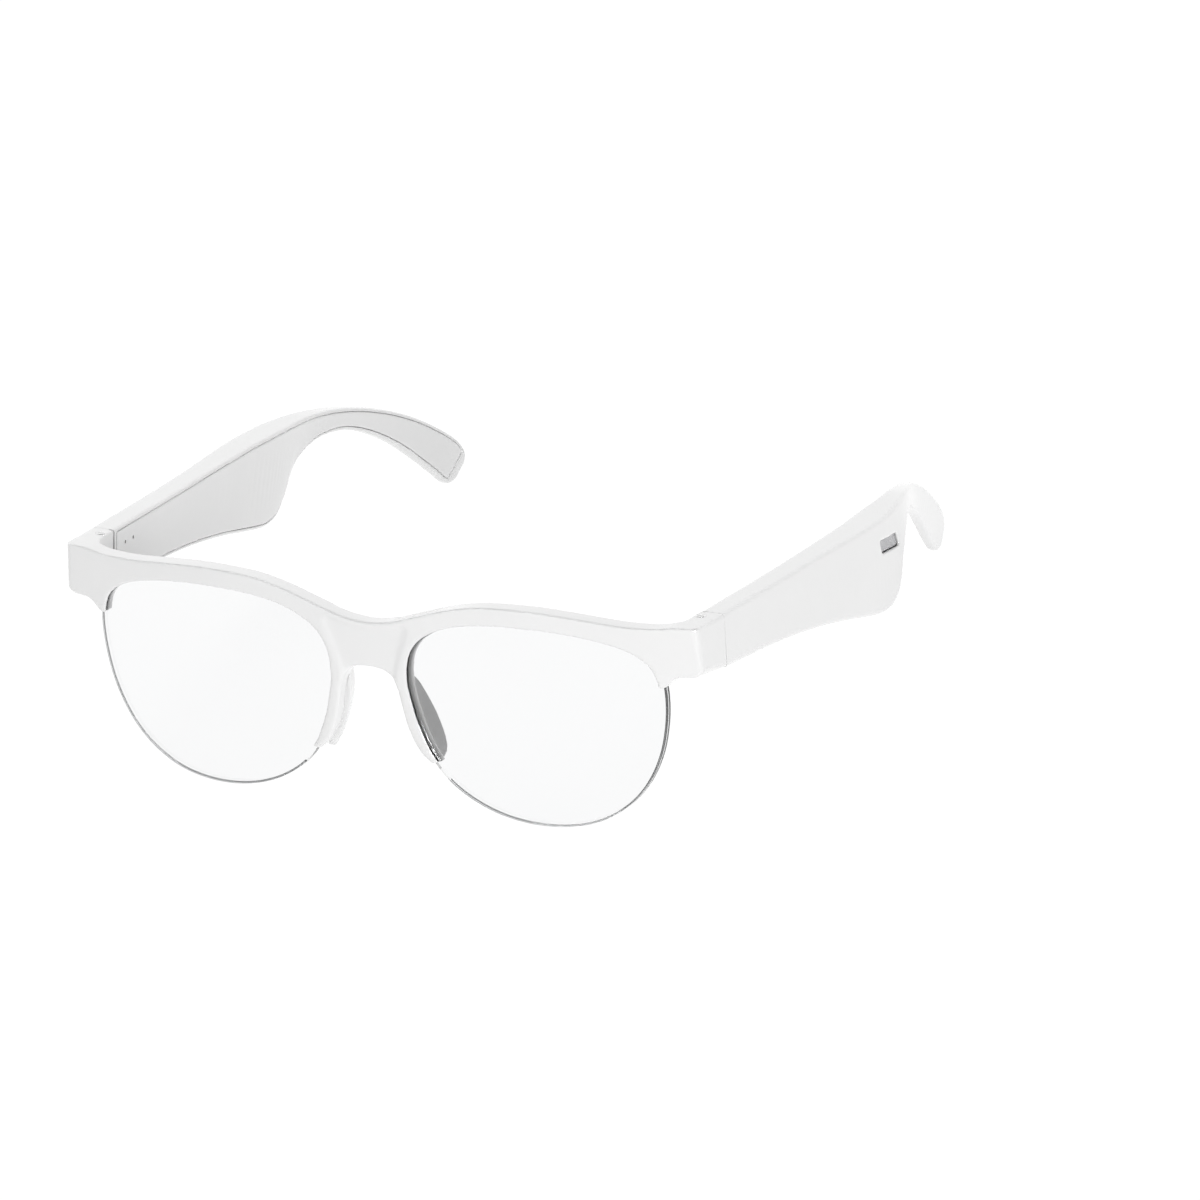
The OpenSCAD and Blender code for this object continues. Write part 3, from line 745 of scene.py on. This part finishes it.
def floor():
    mesh = bpy.data.meshes.new("floor")
    s = FLOOR_HALF
    mesh.from_pydata([(-s, -s, 0), (s, -s, 0), (s, s, 0), (-s, s, 0)], [], [(0, 1, 2, 3)])
    piece = new_object("floor", mesh)
    m, nodes, links, shader = material("floor_white")
    shader.inputs["Base Color"].default_value = (0.05, 0.05, 0.05, 1)
    shader.inputs["Roughness"].default_value = 1.0
    shader.inputs["Specular IOR Level"].default_value = 0.0
    shader.inputs["Emission Color"].default_value = (1, 1, 1, 1)
    path = nodes.new("ShaderNodeLightPath")
    glow = nodes.new("ShaderNodeMapRange")
    glow.inputs["To Min"].default_value = 1.0
    glow.inputs["To Max"].default_value = FLOOR_LIGHT
    links.new(path.outputs["Is Diffuse Ray"], glow.inputs["Value"])
    links.new(glow.outputs["Result"], shader.inputs["Emission Strength"])
    paint(piece, m)


floor()


def soft_light(name, azimuth, elevation, level, size, glossy=True, distance=2.0):
    """A square light that adds "level" to what a white face turned to it shows."""
    data = bpy.data.lights.new(name, "AREA")
    data.shape = "SQUARE"
    data.size = size
    data.energy = level * math.pi ** 2 * distance ** 2
    lamp = bpy.data.objects.new(name, data)
    bpy.context.scene.collection.objects.link(lamp)
    a, e = math.radians(azimuth), math.radians(elevation)
    way = Vector((math.sin(a) * math.cos(e), -math.cos(a) * math.cos(e), math.sin(e)))
    lamp.location = LIT_AT + way * distance
    lamp.rotation_euler = way.to_track_quat("Z", "Y").to_euler()
    lamp.visible_glossy = glossy


soft_light("side", 60, 6, 0.63, 0.8)
soft_light("front", -14, 6, 0.36, 1.0, glossy=False)
soft_light("top", -140, 56, 0.7, 1.2, glossy=False)


def world():
    w = bpy.data.worlds.new("studio")
    bpy.context.scene.world = w
    w.use_nodes = True
    nodes, links = w.node_tree.nodes, w.node_tree.links
    background = nodes["Background"]
    where = nodes.new("ShaderNodeTexCoord")
    split = nodes.new("ShaderNodeSeparateXYZ")
    links.new(where.outputs["Generated"], split.inputs[0])
    cap = nodes.new("ShaderNodeValToRGB")
    cap.color_ramp.elements[0].position = 0.42
    cap.color_ramp.elements[0].color = (1, 1, 1, 1)
    cap.color_ramp.elements[1].position = 0.62
    cap.color_ramp.elements[1].color = (0.1, 0.1, 0.1, 1)
    links.new(split.outputs["Z"], cap.inputs["Fac"])
    path = nodes.new("ShaderNodeLightPath")
    plain = nodes.new("ShaderNodeMix")
    plain.data_type = "RGBA"
    plain.inputs[6].default_value = (1, 1, 1, 1)
    plain.inputs[7].default_value = (0.3, 0.3, 0.3, 1)
    links.new(path.outputs["Is Diffuse Ray"], plain.inputs[0])
    mix = nodes.new("ShaderNodeMix")
    mix.data_type = "RGBA"
    links.new(path.outputs["Is Glossy Ray"], mix.inputs[0])
    links.new(plain.outputs[2], mix.inputs[6])
    links.new(cap.outputs["Color"], mix.inputs[7])
    links.new(mix.outputs[2], background.inputs["Color"])


world()

# ---- the camera -----------------------------------------------------------------------
AZIMUTH, ELEVATION = math.radians(25.5), math.radians(16.8)
VIEW_WIDTH = 252.7 * MM
VIEW_AT = (45.6 * MM, -2.4 * MM)        # the picture's middle, right of and above the origin
CAMERA_OUT = 0.6                        # how far the camera stands back, in metres


def camera():
    data = bpy.data.cameras.new("camera")
    cam = bpy.data.objects.new("camera", data)
    bpy.context.scene.collection.objects.link(cam)
    data.type = "ORTHO"
    data.ortho_scale = VIEW_WIDTH
    data.clip_start, data.clip_end = 0.01, 10
    sa, ca = math.sin(AZIMUTH), math.cos(AZIMUTH)
    se, ce = math.sin(ELEVATION), math.cos(ELEVATION)
    right = ACROSS * ca + BACK * sa
    up = ACROSS * (-sa * se) + BACK * (ca * se) + UP * ce
    out = ACROSS * (sa * ce) - BACK * (ca * ce) + UP * se
    place = ORIGIN + right * VIEW_AT[0] + up * VIEW_AT[1] + out * CAMERA_OUT
    cam.matrix_world = Matrix((
        (right.x, up.x, out.x, place.x),
        (right.y, up.y, out.y, place.y),
        (right.z, up.z, out.z, place.z),
        (0, 0, 0, 1)))
    bpy.context.scene.camera = cam


camera()
view = bpy.context.scene.view_settings
view.view_transform = "Standard"
bpy.context.scene.cycles.caustics_refractive = False
bpy.context.scene.cycles.caustics_reflective = False
